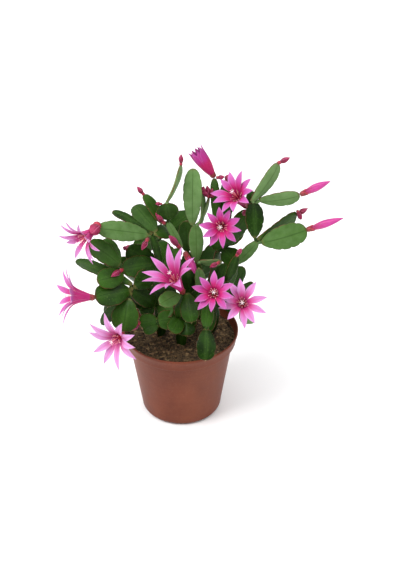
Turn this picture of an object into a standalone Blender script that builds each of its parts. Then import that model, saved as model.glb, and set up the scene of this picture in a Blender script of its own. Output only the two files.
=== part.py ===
"""An Easter cactus in a 12 cm nursery pot: pot, soil, jointed flat stem segments, star blossoms and long buds.

The origin is the centre of the pot's flat base, +Z is up and -Y is the front. Lengths are in metres.
"""

import math

import bmesh
import bpy
from mathutils import Matrix, Vector

MM = 0.001
GAP = 0.4 * MM

# Nursery pot
POT_TURN_STEPS = 48
POT_HEIGHT = 97 * MM
POT_TOP_RADIUS = 60 * MM
POT_LIP_HEIGHT = 13 * MM
POT_LIP_FOOT_RADIUS = 57.6 * MM
POT_NECK_RADIUS = 54.4 * MM
POT_FOOT_RADIUS = 42.5 * MM
POT_BASE_FLAT_RADIUS = 37 * MM
POT_FOOT_ROUNDING = 5.5 * MM
POT_WALL = 1.4 * MM
POT_FLOOR = 2 * MM
DRAIN_HOLES = 6
DRAIN_HOLE_RADIUS = 4 * MM
DRAIN_RING_RADIUS = 25 * MM
DRAIN_RING_TURN = 0.56

# Soil plug
SOIL_TOP = 88 * MM
SOIL_CROWN = 3 * MM
SOCKET_DEPTH = 11 * MM
SOCKET_RADIUS = 9.5 * MM

# Stem segments
PAD_THICKNESS = 3.4 * MM
STUB_WIDTH = 3.4 * MM
PAD_ACROSS = 3
PAD_ALONG = 8
PAD_ARCH = 0.05
PAD_CUP = 0.10
FOLD_CLEARANCE = 3 * MM
LIGHT = Vector((0, -0.84, 0.54))

# Blossoms
PETALS = 10
THROAT_RADIUS = 4.6 * MM
RECEPTACLE_RADIUS = 2.6 * MM
PETAL_THICKNESS = 0.8 * MM
BUD_FOOT = 0.42

# Each rooted stem: name, foot on the soil plan (x, y in mm), length, width, heading, rise, turn.
# Heading is a compass angle in plan: 0 right, 90 back, 180 left, 270 front. Rise is above the horizontal.
# Turn rolls the flat side away from the light.
ROOTED = (
    ("right_root", (27, 5), 46, 13, 342, 78, 20),
    ("centre_root", (6, 6), 48, 14, 15, 75, -10),
    ("left_root", (-21, 1), 50, 13, 240, 83, 30),
    ("front_root", (0, -16), 44, 12, 297, 84, 0),
    ("back_root", (4, 29), 49, 13, 77, 70, 15),
)

# Each later segment: name, the one it grows from, length, width, heading, rise, turn, sideways shift on the tip.
GROWTH = (
    ("right_riser", "right_root", 54, 16, 354, 68, 40, -2),
    ("right_fork", "right_riser", 37, 12, 347, 53, 20, 0),
    ("right_upright", "right_fork", 35, 19, 98, 68, 10, -4.5),
    ("right_low_pad", "right_fork", 47, 25, 352, 23, 10, 4.5),
    ("right_back_pad", "right_fork", 51, 20, 36, 14, 50, -1.5),
    ("right_top_pad", "right_upright", 45, 18, 22, 53, 50, -2),
    ("right_side_pad", "right_upright", 41, 18, 345, 16, 45, 6),
    ("centre_riser", "centre_root", 60, 18, 28, 73, 60, 4),
    ("centre_right_pad", "centre_riser", 50, 22, 12, 55, 30, 3.5),
    ("centre_upright", "centre_riser", 28, 16, 330, 80, 0, -3.5),
    ("centre_top_stem", "centre_upright", 47, 10, 98, 63, 0, -3),
    ("centre_mid", "centre_root", 50, 16, 282, 80, 0, -4),
    ("centre_step", "centre_mid", 38, 15, 96, 76, 10, 0),
    ("centre_tall_pad", "centre_step", 58, 19, 86, 80, 0, -3),
    ("centre_slim_pad", "centre_step", 32, 11, 85, 74, 70, 5.5),
    ("left_riser", "left_root", 44, 15, 67, 84, 10, 3),
    ("left_centre_riser", "left_riser", 24, 12, 0, 42, 0, 3),
    ("left_centre_stem", "left_centre_riser", 30, 8, 160, 60, 10, -2),
    ("left_centre_round_pad", "left_centre_stem", 22, 22, 250, 74, 0, 3),
    ("left_centre_side_pad", "left_centre_stem", 34, 14, 146, 50, 35, -5),
    ("left_centre_top_pad", "left_centre_round_pad", 38, 15, 45, 60, 75, 1),
    ("left_inner_pad", "left_riser", 39, 22, 211, 8, 10, -4),
    ("left_twig", "left_riser", 37, 8, 207, 76, 10, 0),
    ("left_long_pad", "left_twig", 53, 20, 197, 17, 10, -2.5),
    ("left_round_pad", "left_twig", 35, 20, 138, 31, 20, 5.5),
    ("left_outer_pad", "left_inner_pad", 40, 21, 181, 43, 20, 4),
    ("left_mid_pad", "left_inner_pad", 30, 21, 215, 8, 10, -6),
    ("left_low_riser", "left_root", 46, 18, 228, 46, 20, -3),
    ("left_low_pad", "left_low_riser", 37, 26, 206, 4, 10, 0),
    ("left_far_pad", "left_low_riser", 62, 13, 160, 14, 20, 6),
    ("left_drooping_pad", "left_low_riser", 33, 28, 252, -58, 10, -8),
    ("front_riser", "front_root", 36, 18, 302, 75, 40, -4),
    ("front_left_pad", "front_riser", 26, 17, 225, 0, 20, -5),
    ("front_hanging_pad", "front_riser", 30, 19, 284, -45, 10, 3),
    ("front_centre_riser", "front_root", 45, 15, 334, 50, 40, 4),
    ("front_link", "front_centre_riser", 31, 13, 258, -64, 10, -5),
    ("rim_pad", "front_link", 32, 20, 268, -45, 0, 0),
    ("front_right_riser", "right_root", 45, 15, 299, 29, 20, 6),
    ("back_right_pad", "back_root", 48, 23, 31, 49, 30, 3),
    ("back_left_pad", "back_root", 52, 23, 152, 49, -20, -3),
    ("back_top_pad", "back_left_pad", 41, 22, 30, 26, 0, 5),
)

# Each open blossom: name, the segment it grows from, heading, rise, tube length, size across, how far open, shift.
BLOSSOMS = (
    ("blossom_far_left", "left_long_pad", 230, -12, 17, 52, 0.90, 0),
    ("blossom_left", "left_low_pad", 193, 14, 21, 52, 0.72, 0),
    ("blossom_low_left", "left_drooping_pad", 243, 8, 13, 58, 0.90, 0),
    ("blossom_centre_left", "front_riser", 222, 60, 26, 62, 0.64, 0),
    ("blossom_front", "front_centre_riser", 262, 42, 18, 44, 1.00, 2),
    ("blossom_front_right", "front_right_riser", 268, 42, 18, 50, 1.00, 0),
    ("blossom_upper_right", "centre_right_pad", 229, 49, 26, 45, 0.84, -4),
    ("blossom_middle", "centre_upright", 266, 25, 17, 41, 1.00, 2),
    ("blossom_top", "centre_top_stem", 172, 56, 16, 42, 0.05, 0),
)

# Each closed flower or long bud: name, the segment it grows from, length, width, heading, rise, shift.
BUDS = (
    ("blossom_drooping", "left_centre_riser", 28, 9, 325, -55, 4),
    ("long_bud_upper", "right_side_pad", 32, 9, 4, 26, 0),
    ("long_bud_lower", "right_low_pad", 38, 9, 354, 24, 0),
)


def clear_scene():
    for obj in list(bpy.data.objects):
        bpy.data.objects.remove(obj, do_unlink=True)


def make_material(name, colour, roughness):
    material = bpy.data.materials.new(name)
    material.use_nodes = True
    shader = material.node_tree.nodes["Principled BSDF"]
    shader.inputs["Base Color"].default_value = (*colour, 1)
    shader.inputs["Roughness"].default_value = roughness
    shader.inputs["Metallic"].default_value = 0
    return material


def add_object(name, bm, material, smooth=True):
    bmesh.ops.recalc_face_normals(bm, faces=bm.faces[:])
    mesh = bpy.data.meshes.new(name)
    bm.to_mesh(mesh)
    bm.free()
    obj = bpy.data.objects.new(name, mesh)
    bpy.context.scene.collection.objects.link(obj)
    mesh.materials.append(material)
    if smooth:
        mesh.shade_smooth()
        mesh.set_sharp_from_angle(angle=math.radians(40))
    return obj


def turned(profile):
    """A round body from a profile of (radius, height) points that starts and ends on the axis."""
    bm = bmesh.new()
    points = [bm.verts.new((radius, 0, height)) for radius, height in profile]
    edges = [bm.edges.new(pair) for pair in zip(points, points[1:])]
    bmesh.ops.spin(
        bm,
        geom=points + edges,
        cent=(0, 0, 0),
        axis=(0, 0, 1),
        angle=2 * math.pi,
        steps=POT_TURN_STEPS,
        use_merge=True,
    )
    bmesh.ops.remove_doubles(bm, verts=bm.verts[:], dist=0.01 * MM)
    return bm


def cut_round(obj, name, radius, low, high, place, sides=16):
    """Cuts a round hole or socket through obj with a hidden cylinder."""
    bm = bmesh.new()
    bmesh.ops.create_cone(
        bm,
        cap_ends=True,
        segments=sides,
        radius1=radius,
        radius2=radius,
        depth=high - low,
        matrix=Matrix.Translation((place[0], place[1], (low + high) / 2)),
    )
    mesh = bpy.data.meshes.new(name)
    bm.to_mesh(mesh)
    bm.free()
    cutter = bpy.data.objects.new(name, mesh)
    bpy.context.scene.collection.objects.link(cutter)
    cutter.hide_render = True
    cutter.display_type = "WIRE"
    cut = obj.modifiers.new(name, "BOOLEAN")
    cut.operation = "DIFFERENCE"
    cut.solver = "EXACT"
    cut.object = cutter


def foot_rounding(flat_radius, side_radius, height, low, steps=4):
    """Points of the quarter round between a flat base and the side of a pot."""
    turns = [math.pi / 2 * i / steps for i in range(steps + 1)]
    run = side_radius - flat_radius
    return [(flat_radius + run * math.sin(t), low + height * (1 - math.cos(t))) for t in turns]


def make_pot(material):
    lip_foot = POT_HEIGHT - POT_LIP_HEIGHT
    outside = [(0, 0)]
    outside += foot_rounding(POT_BASE_FLAT_RADIUS, POT_FOOT_RADIUS, POT_FOOT_ROUNDING, 0)
    outside += [
        (POT_NECK_RADIUS, lip_foot),
        (POT_LIP_FOOT_RADIUS, lip_foot + 0.4 * MM),
        (POT_TOP_RADIUS, POT_HEIGHT - 0.6 * MM),
        (POT_TOP_RADIUS - 0.6 * MM, POT_HEIGHT),
    ]
    inside = [
        (POT_TOP_RADIUS - POT_WALL, POT_HEIGHT - 0.4 * MM),
        (POT_LIP_FOOT_RADIUS - POT_WALL, lip_foot + 1.6 * MM),
        (POT_NECK_RADIUS - POT_WALL, lip_foot + 0.6 * MM),
        (POT_FOOT_RADIUS - POT_WALL, POT_FOOT_ROUNDING),
        (POT_BASE_FLAT_RADIUS, POT_FLOOR),
        (0, POT_FLOOR),
    ]
    pot = add_object("pot", turned(outside + inside), material)
    for i in range(DRAIN_HOLES):
        around = 2 * math.pi * (i + DRAIN_RING_TURN) / DRAIN_HOLES
        place = (DRAIN_RING_RADIUS * math.cos(around), DRAIN_RING_RADIUS * math.sin(around))
        cut_round(pot, f"drain_cutter_{i + 1}", DRAIN_HOLE_RADIUS, -5 * MM, 6 * MM, place)


def make_soil(material, feet):
    """The peat plug, a gap inside the pot's wall, with a socket round each rooted stem."""
    lip_foot = POT_HEIGHT - POT_LIP_HEIGHT
    inset = POT_WALL + GAP
    edge_radius = POT_LIP_FOOT_RADIUS - inset - 0.3 * MM
    profile = [
        (0, POT_FLOOR + GAP),
        (POT_BASE_FLAT_RADIUS - 1 * MM, POT_FLOOR + GAP),
        (POT_FOOT_RADIUS - inset - 0.3 * MM, POT_FOOT_ROUNDING + 0.5 * MM),
        (POT_NECK_RADIUS - inset, lip_foot + 0.6 * MM),
        (edge_radius, lip_foot + 2.2 * MM),
        (edge_radius, SOIL_TOP - 1 * MM),
        (edge_radius * 0.8, SOIL_TOP),
        (edge_radius * 0.35, SOIL_TOP + SOIL_CROWN),
        (0, SOIL_TOP + SOIL_CROWN),
    ]
    soil = add_object("potting_soil", turned(profile), material)
    for name, place in feet.items():
        cut_round(
            soil,
            f"{name}_socket_cutter",
            SOCKET_RADIUS,
            SOIL_TOP - SOCKET_DEPTH,
            SOIL_TOP + 20 * MM,
            place,
            sides=12,
        )


def direction_of(heading, rise):
    turn, lift = math.radians(heading), math.radians(rise)
    return Vector((math.cos(lift) * math.cos(turn), math.cos(lift) * math.sin(turn), math.sin(lift)))


def growing_frame(place, direction, turn):
    """A frame at place: X across the flat side, Y along the growth and Z out of the flat side, to the light."""
    face = LIGHT - LIGHT.dot(direction) * direction
    face.normalize()
    face.rotate(Matrix.Rotation(math.radians(turn), 3, direction))
    across = direction.cross(face)
    frame = Matrix((across, direction, face)).transposed().to_4x4()
    frame.translation = place
    return frame


def pad_outline(along, width):
    """Half the width of a segment at a share of its length: narrow foot, full middle, blunt end."""
    foot = STUB_WIDTH / width
    body = foot + (1 - foot) * math.sin(min(along / 0.5, 1) * math.pi / 2) ** 0.75
    shoulder = max(0, 1 - (max(0, along - 0.5) / 0.52) ** 2.6) ** 0.5
    return width / 2 * min(body, max(shoulder, 0.38))


def pad_half_thickness(along, across, thick):
    margin = 1 - 0.6 * across * across
    ends = min(1, 0.78 + 1.2 * min(along, 1 - along))
    return thick / 2 * margin * ends


def grow_pad(name, material, frame, length, width, thick=PAD_THICKNESS):
    """One flat stem segment, thick along its midrib, cupped across and arched along its length."""
    bm = bmesh.new()
    bmesh.ops.create_grid(bm, x_segments=PAD_ACROSS, y_segments=PAD_ALONG, size=1)
    layout = []
    for vert in bm.verts:
        across, along = vert.co.x, (vert.co.y + 1) / 2
        half = pad_outline(along, width)
        lift = PAD_ARCH * length * 4 * along * (1 - along) + PAD_CUP * half * across * across
        vert.co = (across * half, along * length, lift)
        layout.append((vert.co.copy(), pad_half_thickness(along, across, thick)))
    under = bmesh.ops.extrude_face_region(bm, geom=bm.faces[:])["geom"]
    lower = [item for item in under if isinstance(item, bmesh.types.BMVert)]
    for vert in lower:
        _, half_thick = min(layout, key=lambda row: (row[0] - vert.co).length_squared)
        vert.co.z -= half_thick
    low_set = set(lower)
    upper = [vert for vert in bm.verts if vert not in low_set]
    for vert in upper:
        _, half_thick = min(layout, key=lambda row: (row[0] - vert.co).length_squared)
        vert.co.z += half_thick
    bmesh.ops.transform(bm, matrix=frame, verts=bm.verts[:])
    add_object(name, bm, material)


def spindle(name, material, frame, length, width, sides=8):
    """A closed bud: a slim foot, the fullest part at two thirds and a pointed tip."""
    stations = ((0, BUD_FOOT), (0.16, 0.55), (0.4, 0.8), (0.66, 1), (0.86, 0.66), (1, 0.12))
    bm = bmesh.new()
    radius = width / 2 * stations[0][1]
    ring = bmesh.ops.create_circle(bm, cap_ends=True, segments=sides, radius=radius)["verts"]
    edges = list({edge for vert in ring for edge in vert.link_edges})
    for (low, size), (high, next_size) in zip(stations, stations[1:]):
        new = bmesh.ops.extrude_edge_only(bm, edges=edges)["geom"]
        ring = [item for item in new if isinstance(item, bmesh.types.BMVert)]
        edges = [item for item in new if isinstance(item, bmesh.types.BMEdge)]
        bmesh.ops.scale(bm, vec=(next_size / size, next_size / size, 1), verts=ring)
        bmesh.ops.translate(bm, vec=(0, 0, (high - low) * length), verts=ring)
    bmesh.ops.contextual_create(bm, geom=edges)
    upright = frame @ Matrix.Rotation(-math.pi / 2, 4, "X")
    bmesh.ops.transform(bm, matrix=upright, verts=bm.verts[:])
    add_object(name, bm, material)


def petal_stations(size, opening):
    """Places along one petal as (distance from the axis, height over the throat, half width)."""
    reach = size / 2 - THROAT_RADIUS
    lean = math.radians(8 + 76 * opening)
    out, up = math.sin(lean), math.cos(lean)
    stations = []
    for share, breadth in ((0.30, 0.8), (0.68, 1.0), (1.0, 0.22)):
        radius = THROAT_RADIUS + reach * share * out / max(math.sin(math.radians(60)), out)
        room = 2 * math.pi * radius / PETALS * 0.40
        height = reach * share * up * 1.25 + reach * 0.12 * math.sin(share * math.pi)
        stations.append((radius, height, min(room, 3.6 * MM * breadth + 0.3 * MM)))
    return stations


def grow_blossom(name, material, frame, tube, size, opening):
    """A star of ten petals on a short tube over a round receptacle, as one thin shell open at the throat."""
    bm = bmesh.new()
    ring = bmesh.ops.create_circle(bm, cap_ends=True, segments=PETALS, radius=RECEPTACLE_RADIUS)["verts"]
    edges = list({edge for vert in ring for edge in vert.link_edges})
    heights = ((0.25 * tube, 3.6 * MM), (tube, THROAT_RADIUS))
    level, radius = 0, RECEPTACLE_RADIUS
    for height, wider in heights:
        new = bmesh.ops.extrude_edge_only(bm, edges=edges)["geom"]
        ring = [item for item in new if isinstance(item, bmesh.types.BMVert)]
        edges = [item for item in new if isinstance(item, bmesh.types.BMEdge)]
        bmesh.ops.scale(bm, vec=(wider / radius, wider / radius, 1), verts=ring)
        bmesh.ops.translate(bm, vec=(0, 0, height - level), verts=ring)
        level, radius = height, wider
    for edge in edges:
        middle = (edge.verts[0].co + edge.verts[1].co) / 2
        around = math.atan2(middle.y, middle.x)
        outward = Vector((math.cos(around), math.sin(around), 0))
        sideways = Vector((-math.sin(around), math.cos(around), 0))
        rim = [edge]
        for distance, height, half in petal_stations(size, opening):
            new = bmesh.ops.extrude_edge_only(bm, edges=rim)["geom"]
            rim = [item for item in new if isinstance(item, bmesh.types.BMEdge)]
            for vert in (item for item in new if isinstance(item, bmesh.types.BMVert)):
                side = math.copysign(1, vert.co.dot(sideways))
                vert.co = outward * distance + sideways * side * half + Vector((0, 0, tube + height))
    upright = frame @ Matrix.Rotation(-math.pi / 2, 4, "X")
    bmesh.ops.transform(bm, matrix=upright, verts=bm.verts[:])
    blossom = add_object(name, bm, material)
    wall = blossom.modifiers.new("petal_thickness", "SOLIDIFY")
    wall.thickness = PETAL_THICKNESS
    wall.offset = 0


def tip_place(tips, parent, direction, foot, shift):
    """Where a piece with a foot of this radius starts on a segment's blunt end, moved sideways by shift in mm."""
    end, growth, across, face = tips[parent]
    along = growth.dot(direction)
    slant = math.sqrt(max(0, 1 - along**2))
    folded = FOLD_CLEARANCE * max(0, 0.3 - along)
    return end + growth * (GAP + foot * slant) + across * shift * MM + face * folded


def tip_of(start, direction, length, frame):
    """A segment's far end: its place, its growth direction, the way across it and the way its flat side faces."""
    return start + direction * length * MM, direction, frame.col[0].to_3d(), frame.col[2].to_3d()


def grow_plant(leaf, petal, bud):
    tips = {}
    for name, foot, length, width, heading, rise, turn in ROOTED:
        direction = direction_of(heading, rise)
        start = Vector((foot[0] * MM, foot[1] * MM, SOIL_TOP - SOCKET_DEPTH + 2 * MM))
        frame = growing_frame(start, direction, turn)
        grow_pad(name, leaf, frame, length * MM, width * MM, 5 * MM)
        tips[name] = tip_of(start, direction, length, frame)
    for name, parent, length, width, heading, rise, turn, shift in GROWTH:
        direction = direction_of(heading, rise)
        start = tip_place(tips, parent, direction, STUB_WIDTH / 2, shift)
        frame = growing_frame(start, direction, turn)
        grow_pad(name, leaf, frame, length * MM, width * MM)
        tips[name] = tip_of(start, direction, length, frame)
    for name, parent, heading, rise, tube, size, opening, shift in BLOSSOMS:
        direction = direction_of(heading, rise)
        start = tip_place(tips, parent, direction, RECEPTACLE_RADIUS, shift)
        grow_blossom(name, petal, growing_frame(start, direction, 0), tube * MM, size * MM, opening)
    for name, parent, length, width, heading, rise, shift in BUDS:
        direction = direction_of(heading, rise)
        start = tip_place(tips, parent, direction, BUD_FOOT * width * MM / 2, shift)
        frame = growing_frame(start, direction, 0)
        spindle(name, bud, frame, length * MM, width * MM)


def main():
    clear_scene()
    plastic = make_material("pot_plastic", (0.22, 0.07, 0.04), 0.42)
    peat = make_material("peat", (0.08, 0.05, 0.03), 0.95)
    leaf = make_material("leaf", (0.05, 0.14, 0.03), 0.45)
    petal = make_material("petal", (0.75, 0.10, 0.42), 0.5)
    bud = make_material("bud", (0.45, 0.03, 0.18), 0.45)
    make_pot(plastic)
    feet = {name: (foot[0] * MM, foot[1] * MM) for name, foot, *_ in ROOTED}
    make_soil(peat, feet)
    grow_plant(leaf, petal, bud)


main()
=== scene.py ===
"""The looks of a flowering Easter cactus in its nursery pot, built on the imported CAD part.

Every CAD segment, blossom and bud is read for where it lies, and a finely shaped one takes its place. Short
buds, inner segments and soil crumbs are added round them. Lengths are in metres. +Z is up and -Y is front.
"""

import math
import random

import bmesh
import bpy
import numpy as np
from mathutils import Matrix, Vector, noise


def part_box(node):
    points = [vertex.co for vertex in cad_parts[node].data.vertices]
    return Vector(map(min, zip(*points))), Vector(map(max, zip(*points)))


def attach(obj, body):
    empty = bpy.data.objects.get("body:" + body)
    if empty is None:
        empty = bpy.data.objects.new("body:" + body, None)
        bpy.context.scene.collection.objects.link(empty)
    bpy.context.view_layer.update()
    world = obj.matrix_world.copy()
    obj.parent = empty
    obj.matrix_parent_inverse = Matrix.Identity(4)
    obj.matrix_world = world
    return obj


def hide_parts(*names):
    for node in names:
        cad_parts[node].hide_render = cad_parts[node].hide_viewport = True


MM = 0.001

# Inner segments turn their flat sides this way, forwards and a little up, before any turn of their own.
FACING = Vector((0, -0.84, 0.54))

# Stem segments. WIDEST is where along its length one is widest, BLUNT how wide its end stays.
FOOT_WIDTH = 3.4 * MM
WIDEST = 0.57
BLUNT = 0.38
SEGMENT_THICKNESS = 3.4 * MM
INNER_THICKNESS = 3.2 * MM
ROOT_THICKNESS = 5 * MM
SCALLOP_LENGTH = 9.5 * MM
RIB_HEIGHT = 0.32 * MM
END_BRISTLES = 5
NECK_RADIUS = 1.75 * MM
NECK_LENGTH = 5.5 * MM
FOLD_CLEARANCE = 3 * MM

ROOTS = ("right_root", "centre_root", "left_root", "front_root", "back_root")

# How much pale waxy bloom a segment carries, which also paints light and shade: top and outer segments are set
# paler where light falls on them, and inner and low ones deep green as painted shade. 0 is deep green, 1 is
# grey-green.
PLAIN_BLOOM = 0.22
BLOOM_AND_PAINTED_LIGHT = {
    "right_top_pad": 0.95,
    "right_side_pad": 0.70,
    "right_low_pad": 0.48,
    "right_fork": 0.50,
    "right_upright": 0.10,
    "centre_tall_pad": 0.72,
    "centre_step": 0.55,
    "centre_slim_pad": 0.60,
    "left_centre_top_pad": 0.95,
    "left_centre_stem": 0.60,
    "left_long_pad": 0.55,
    "left_outer_pad": 0.30,
    "left_round_pad": 0.30,
    "left_inner_pad": 0.05,
    "left_low_pad": 0.0,
    "rim_pad": 0.0,
    "low_front_pad": 0.28,
    "low_left_pad": 0.26,
    "low_chain_pad": 0.30,
    "low_bright_pad": 0.22,
    "low_dark_pad": 0.0,
    "edge_on_stem": 0.9,
    "flat_lying_pad": 0.85,
    "pale_inner_pad": 0.6,
    "right_pale_pad": 0.8,
    "front_left_pad": 0.45,
}

# Each blossom: tube length, size across, half a tepal's width and the mouth's radius in mm, then how far it
# is open and how pale it is.
FLOWERS = {
    "blossom_far_left": (17, 54, 3.0, 6.0, 0.84, 0.72),
    "blossom_left": (20, 58, 3.3, 6.8, 0.78, 0.55),
    "blossom_low_left": (13, 60, 4.0, 5.6, 0.90, 0.90),
    "blossom_centre_left": (26, 62, 4.0, 6.2, 0.62, 0.60),
    "blossom_front": (18, 44, 3.6, 5.0, 1.00, 0.30),
    "blossom_front_right": (18, 52, 3.8, 5.2, 1.00, 0.72),
    "blossom_upper_right": (26, 48, 4.0, 5.6, 0.78, 0.42),
    "blossom_middle": (17, 43, 3.7, 5.0, 1.00, 0.24),
    "blossom_top": (16, 42, 3.8, 6.6, -0.10, -0.15),
}

# Blossoms and buds that stay furled, with how ripe their pink is.
LONG_BUDS = {"blossom_drooping": 0.85, "long_bud_upper": 0.80, "long_bud_lower": 0.85}

# Inner and smaller segments: name, the one it grows from, length, width, heading, rise, turn, sideways shift.
# Lengths are in mm and angles in degrees. A heading of 0 is right, 90 back, 180 left and 270 front.
INNER_SEGMENTS = (
    ("round_dark_pad", "left_twig", 23, 17, 55, -17, -20, 3),
    ("left_wide_pad", "left_riser", 34, 22, 178, 29, 0, -4),
    ("left_hind_pad", "left_inner_pad", 29, 17, 146, 48, 20, 6),
    ("left_olive_pad", "left_twig", 45, 11, 164, 25, 35, 1),
    ("left_low_back_pad", "left_low_riser", 46, 13, 166, -47, 20, 3),
    ("left_under_pad", "left_low_riser", 54, 13, 167, -52, 10, -2),
    ("left_hanging_tip", "left_drooping_pad", 21, 10, 35, -52, 0, 6),
    ("left_dark_riser", "left_root", 29, 23, 202, 50, 0, -5),
    ("low_front_pad", "front_root", 22, 20, 205, 5, 0, -5),
    ("low_left_pad", "low_front_pad", 18, 16, 195, -1, 0, 2),
    ("low_bright_pad", "low_front_pad", 16, 12, 207, -12, 10, -4),
    ("low_dark_pad", "front_root", 18, 19, 273, -34, 0, 4),
    ("low_cover_pad", "front_root", 21, 17, 246, -13, 0, -2),
    ("low_chain_pad", "left_root", 25, 17, 298, -2, 0, 3),
    ("low_right_pad", "centre_root", 25, 16, 284, -26, 0, 4),
    ("hind_dark_pad", "left_root", 29, 22, 153, 80, 10, 0),
    ("hind_fill_pad", "left_root", 33, 18, 181, 49, 0, -6),
    ("left_fill_pad", "left_riser", 52, 15, 175, -2, 0, -6),
    ("hind_low_pad", "left_root", 17, 20, 210, -3, 0, -4),
    ("hind_wide_pad", "left_low_riser", 24, 20, 48, 10, 10, 4),
    ("low_hind_pad", "centre_root", 37, 17, 262, -28, 10, -5),
    ("low_right_hind_pad", "right_root", 29, 15, 261, -31, 10, -5),
    ("far_right_pad", "right_root", 40, 12, 8, 38, 20, 7),
    ("right_pale_pad", "front_right_riser", 30, 13, 52, -54, 30, 5),
    ("behind_front_pad", "centre_root", 52, 18, 260, 65, 0, -7),
    ("flat_lying_pad", "centre_mid", 23, 13, 338, 13, 58, 4),
    ("pale_inner_pad", "centre_root", 57, 12, 259, 69, 0, 5),
    ("inner_right_pad", "right_root", 44, 22, 61, 55, 0, -2),
    ("inner_low_pad", "centre_riser", 21, 20, 340, -38, 10, 6),
    ("inner_back_riser", "back_root", 38, 14, 239, 87, 0, 0),
    ("inner_back_pad", "inner_back_riser", 38, 17, 239, 87, 0, 0),
    ("edge_on_stem", "centre_step", 29, 9, 47, 58, 80, 3),
    ("behind_upper_pad", "centre_upright", 46, 14, 90, 56, 10, 6),
    ("upper_dark_pad", "centre_right_pad", 20, 12, 81, 68, 10, 3),
    ("right_thin_riser", "right_root", 36, 11, 319, 71, 10, 2),
    ("right_thin_stem", "right_thin_riser", 38, 10, 319, 71, 10, 0),
    ("inner_left_pad", "left_root", 20, 20, 54, 46, 0, 6),
    ("inner_centre_pad", "front_root", 32, 17, 33, 62, 10, 5),
    ("back_low_right", "back_root", 47, 22, 47, 15, 200, 5),
    ("back_low_left", "back_root", 51, 22, 137, 7, 180, -5),
    ("back_hanging", "back_root", 44, 22, 93, -21, 180, 0),
    ("back_side_right", "back_right_pad", 30, 20, 25, 32, 160, 4),
    ("back_drooping", "back_left_pad", 42, 20, 148, -33, 190, 5),
    ("back_side_left", "left_root", 56, 22, 138, 20, 120, 2),
    ("back_side_riser", "right_root", 48, 20, 51, 32, 200, 4),
)

# Short buds: name, the segment it sits on, length, width, heading, rise, shift, and how ripe its pink is.
SHORT_BUDS = (
    ("far_left_round", "left_long_pad", 20, 12, 259, 1, 4, 0.30),
    ("top_right", "right_top_pad", 14, 5.0, 7, 25, 0, 0.1),
    ("right_back", "right_back_pad", 14, 5.0, 10, 30, 1, 0.1),
    ("right_back_low", "right_back_pad", 11, 4.2, 300, -30, -5, 0.05),
    ("right_back_mid", "right_back_pad", 10, 4.0, 292, -18, -2, 0.05),
    ("thin_stem", "right_thin_stem", 11, 5.0, 346, 62, 0, 0.15),
    ("centre_pad_top", "left_centre_top_pad", 12, 4.5, 82, 80, 0, 0.1),
    ("side_pad", "left_centre_side_pad", 12, 4.6, 175, 53, 0, 0.15),
    ("stem_side", "left_centre_stem", 18, 5.5, 209, 57, -3, 0.1),
    ("round_pad_small", "left_centre_round_pad", 7, 3.4, 208, 14, -5, 0.05),
    ("riser_big", "left_centre_riser", 26, 7.0, 227, 54, -3, 0.35),
    ("mid_left", "left_inner_pad", 21, 5.6, 241, 8, 0, 0.3),
    ("twig", "left_twig", 14, 5.6, 219, -53, -5, 0.3),
    ("wide_pad_small", "left_wide_pad", 7, 4.0, 233, 46, 0, 0.02),
    ("soil_level", "low_left_pad", 14, 6.2, 232, -13, 0, 0.35),
    ("cluster_a", "edge_on_stem", 10, 5.0, 189, 48, -3, 0.12),
    ("cluster_b", "edge_on_stem", 13, 5.0, 146, 79, -1, 0.12),
    ("cluster_c", "edge_on_stem", 11, 5.0, 356, 71, 1, 0.15),
    ("cluster_d", "edge_on_stem", 12, 4.6, 298, 38, 3, 0.1),
    ("cluster_e", "centre_slim_pad", 10, 4.4, 306, 67, 0, 0.1),
    ("top_stem", "centre_top_stem", 9, 4.6, 342, 15, 3, 0.25),
    ("behind_upper", "behind_upper_pad", 9, 5.0, 24, 66, 0, 0.2),
    ("under_flat", "flat_lying_pad", 12, 4.8, 184, -31, -4, 0.15),
    ("upper_right_base", "centre_right_pad", 17, 5.4, 251, 12, -1, 0.2),
    ("back_low", "back_low_right", 12, 5, 17, -33, 0, 0.15),
    ("back_side", "back_side_right", 14, 5, 44, 54, 0, 0.3),
    ("back_hang", "back_drooping", 13, 5, 150, -20, 0, 0.2),
)

# Blossoms. TUBE_SHARE is how much of a tepal's mesh lies in the tube.
TEPALS = 10
TEPAL_STEPS = 24
TUBE_SHARE = 0.36
STAMENS = 12
STIGMA_LOBES = 6
LONG_BUD_INSET = 3.5 * MM

# The pot, whose rim radius and height are read from the CAD part.
POT_TURN_STEPS = 96
BASE_RADIUS = 37 * MM
BASE_RISE = 0.6 * MM
FOOT_ROUND = 5.5 * MM
WALL_FOOT = (43.2 * MM, 10.5 * MM)
WALL_TOP = 54.2 * MM
LIP_HEIGHT = 13 * MM
LIP_ROUND = 0.8 * MM
FLOOR_TOP = 2 * MM
DRAIN_HOLES = 6
DRAIN_CIRCLE = 25 * MM
DRAIN_RADIUS = 4 * MM

# The peat: its edge's radius, its edge's height and how much higher its crown stands.
SOIL_EDGE = 56.2 * MM
SOIL_LEVEL = 87.6 * MM
SOIL_CROWN = 3.2 * MM
SOIL_RINGS = 46
SOIL_TURN_STEPS = 190
CRUMBS = 620

# The studio.
AIM = Vector((0, 0, 0.16))
CAMERA_AIM = Vector((0.020, 0, 0.1505))
CAMERA_RISE = math.radians(33)
CAMERA_DISTANCE = 1.1
CAMERA_LENS = 68.21
ROOM_LIGHT = 0.32


def linear(red, green, blue):
    """A colour given as 0 to 255 display levels, as the shaders want it."""
    levels = [level / 255 for level in (red, green, blue)]
    return tuple(v / 12.92 if v <= 0.04045 else ((v + 0.055) / 1.055) ** 2.4 for v in levels) + (1,)


# ---------------------------------------------------------------- materials


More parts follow.
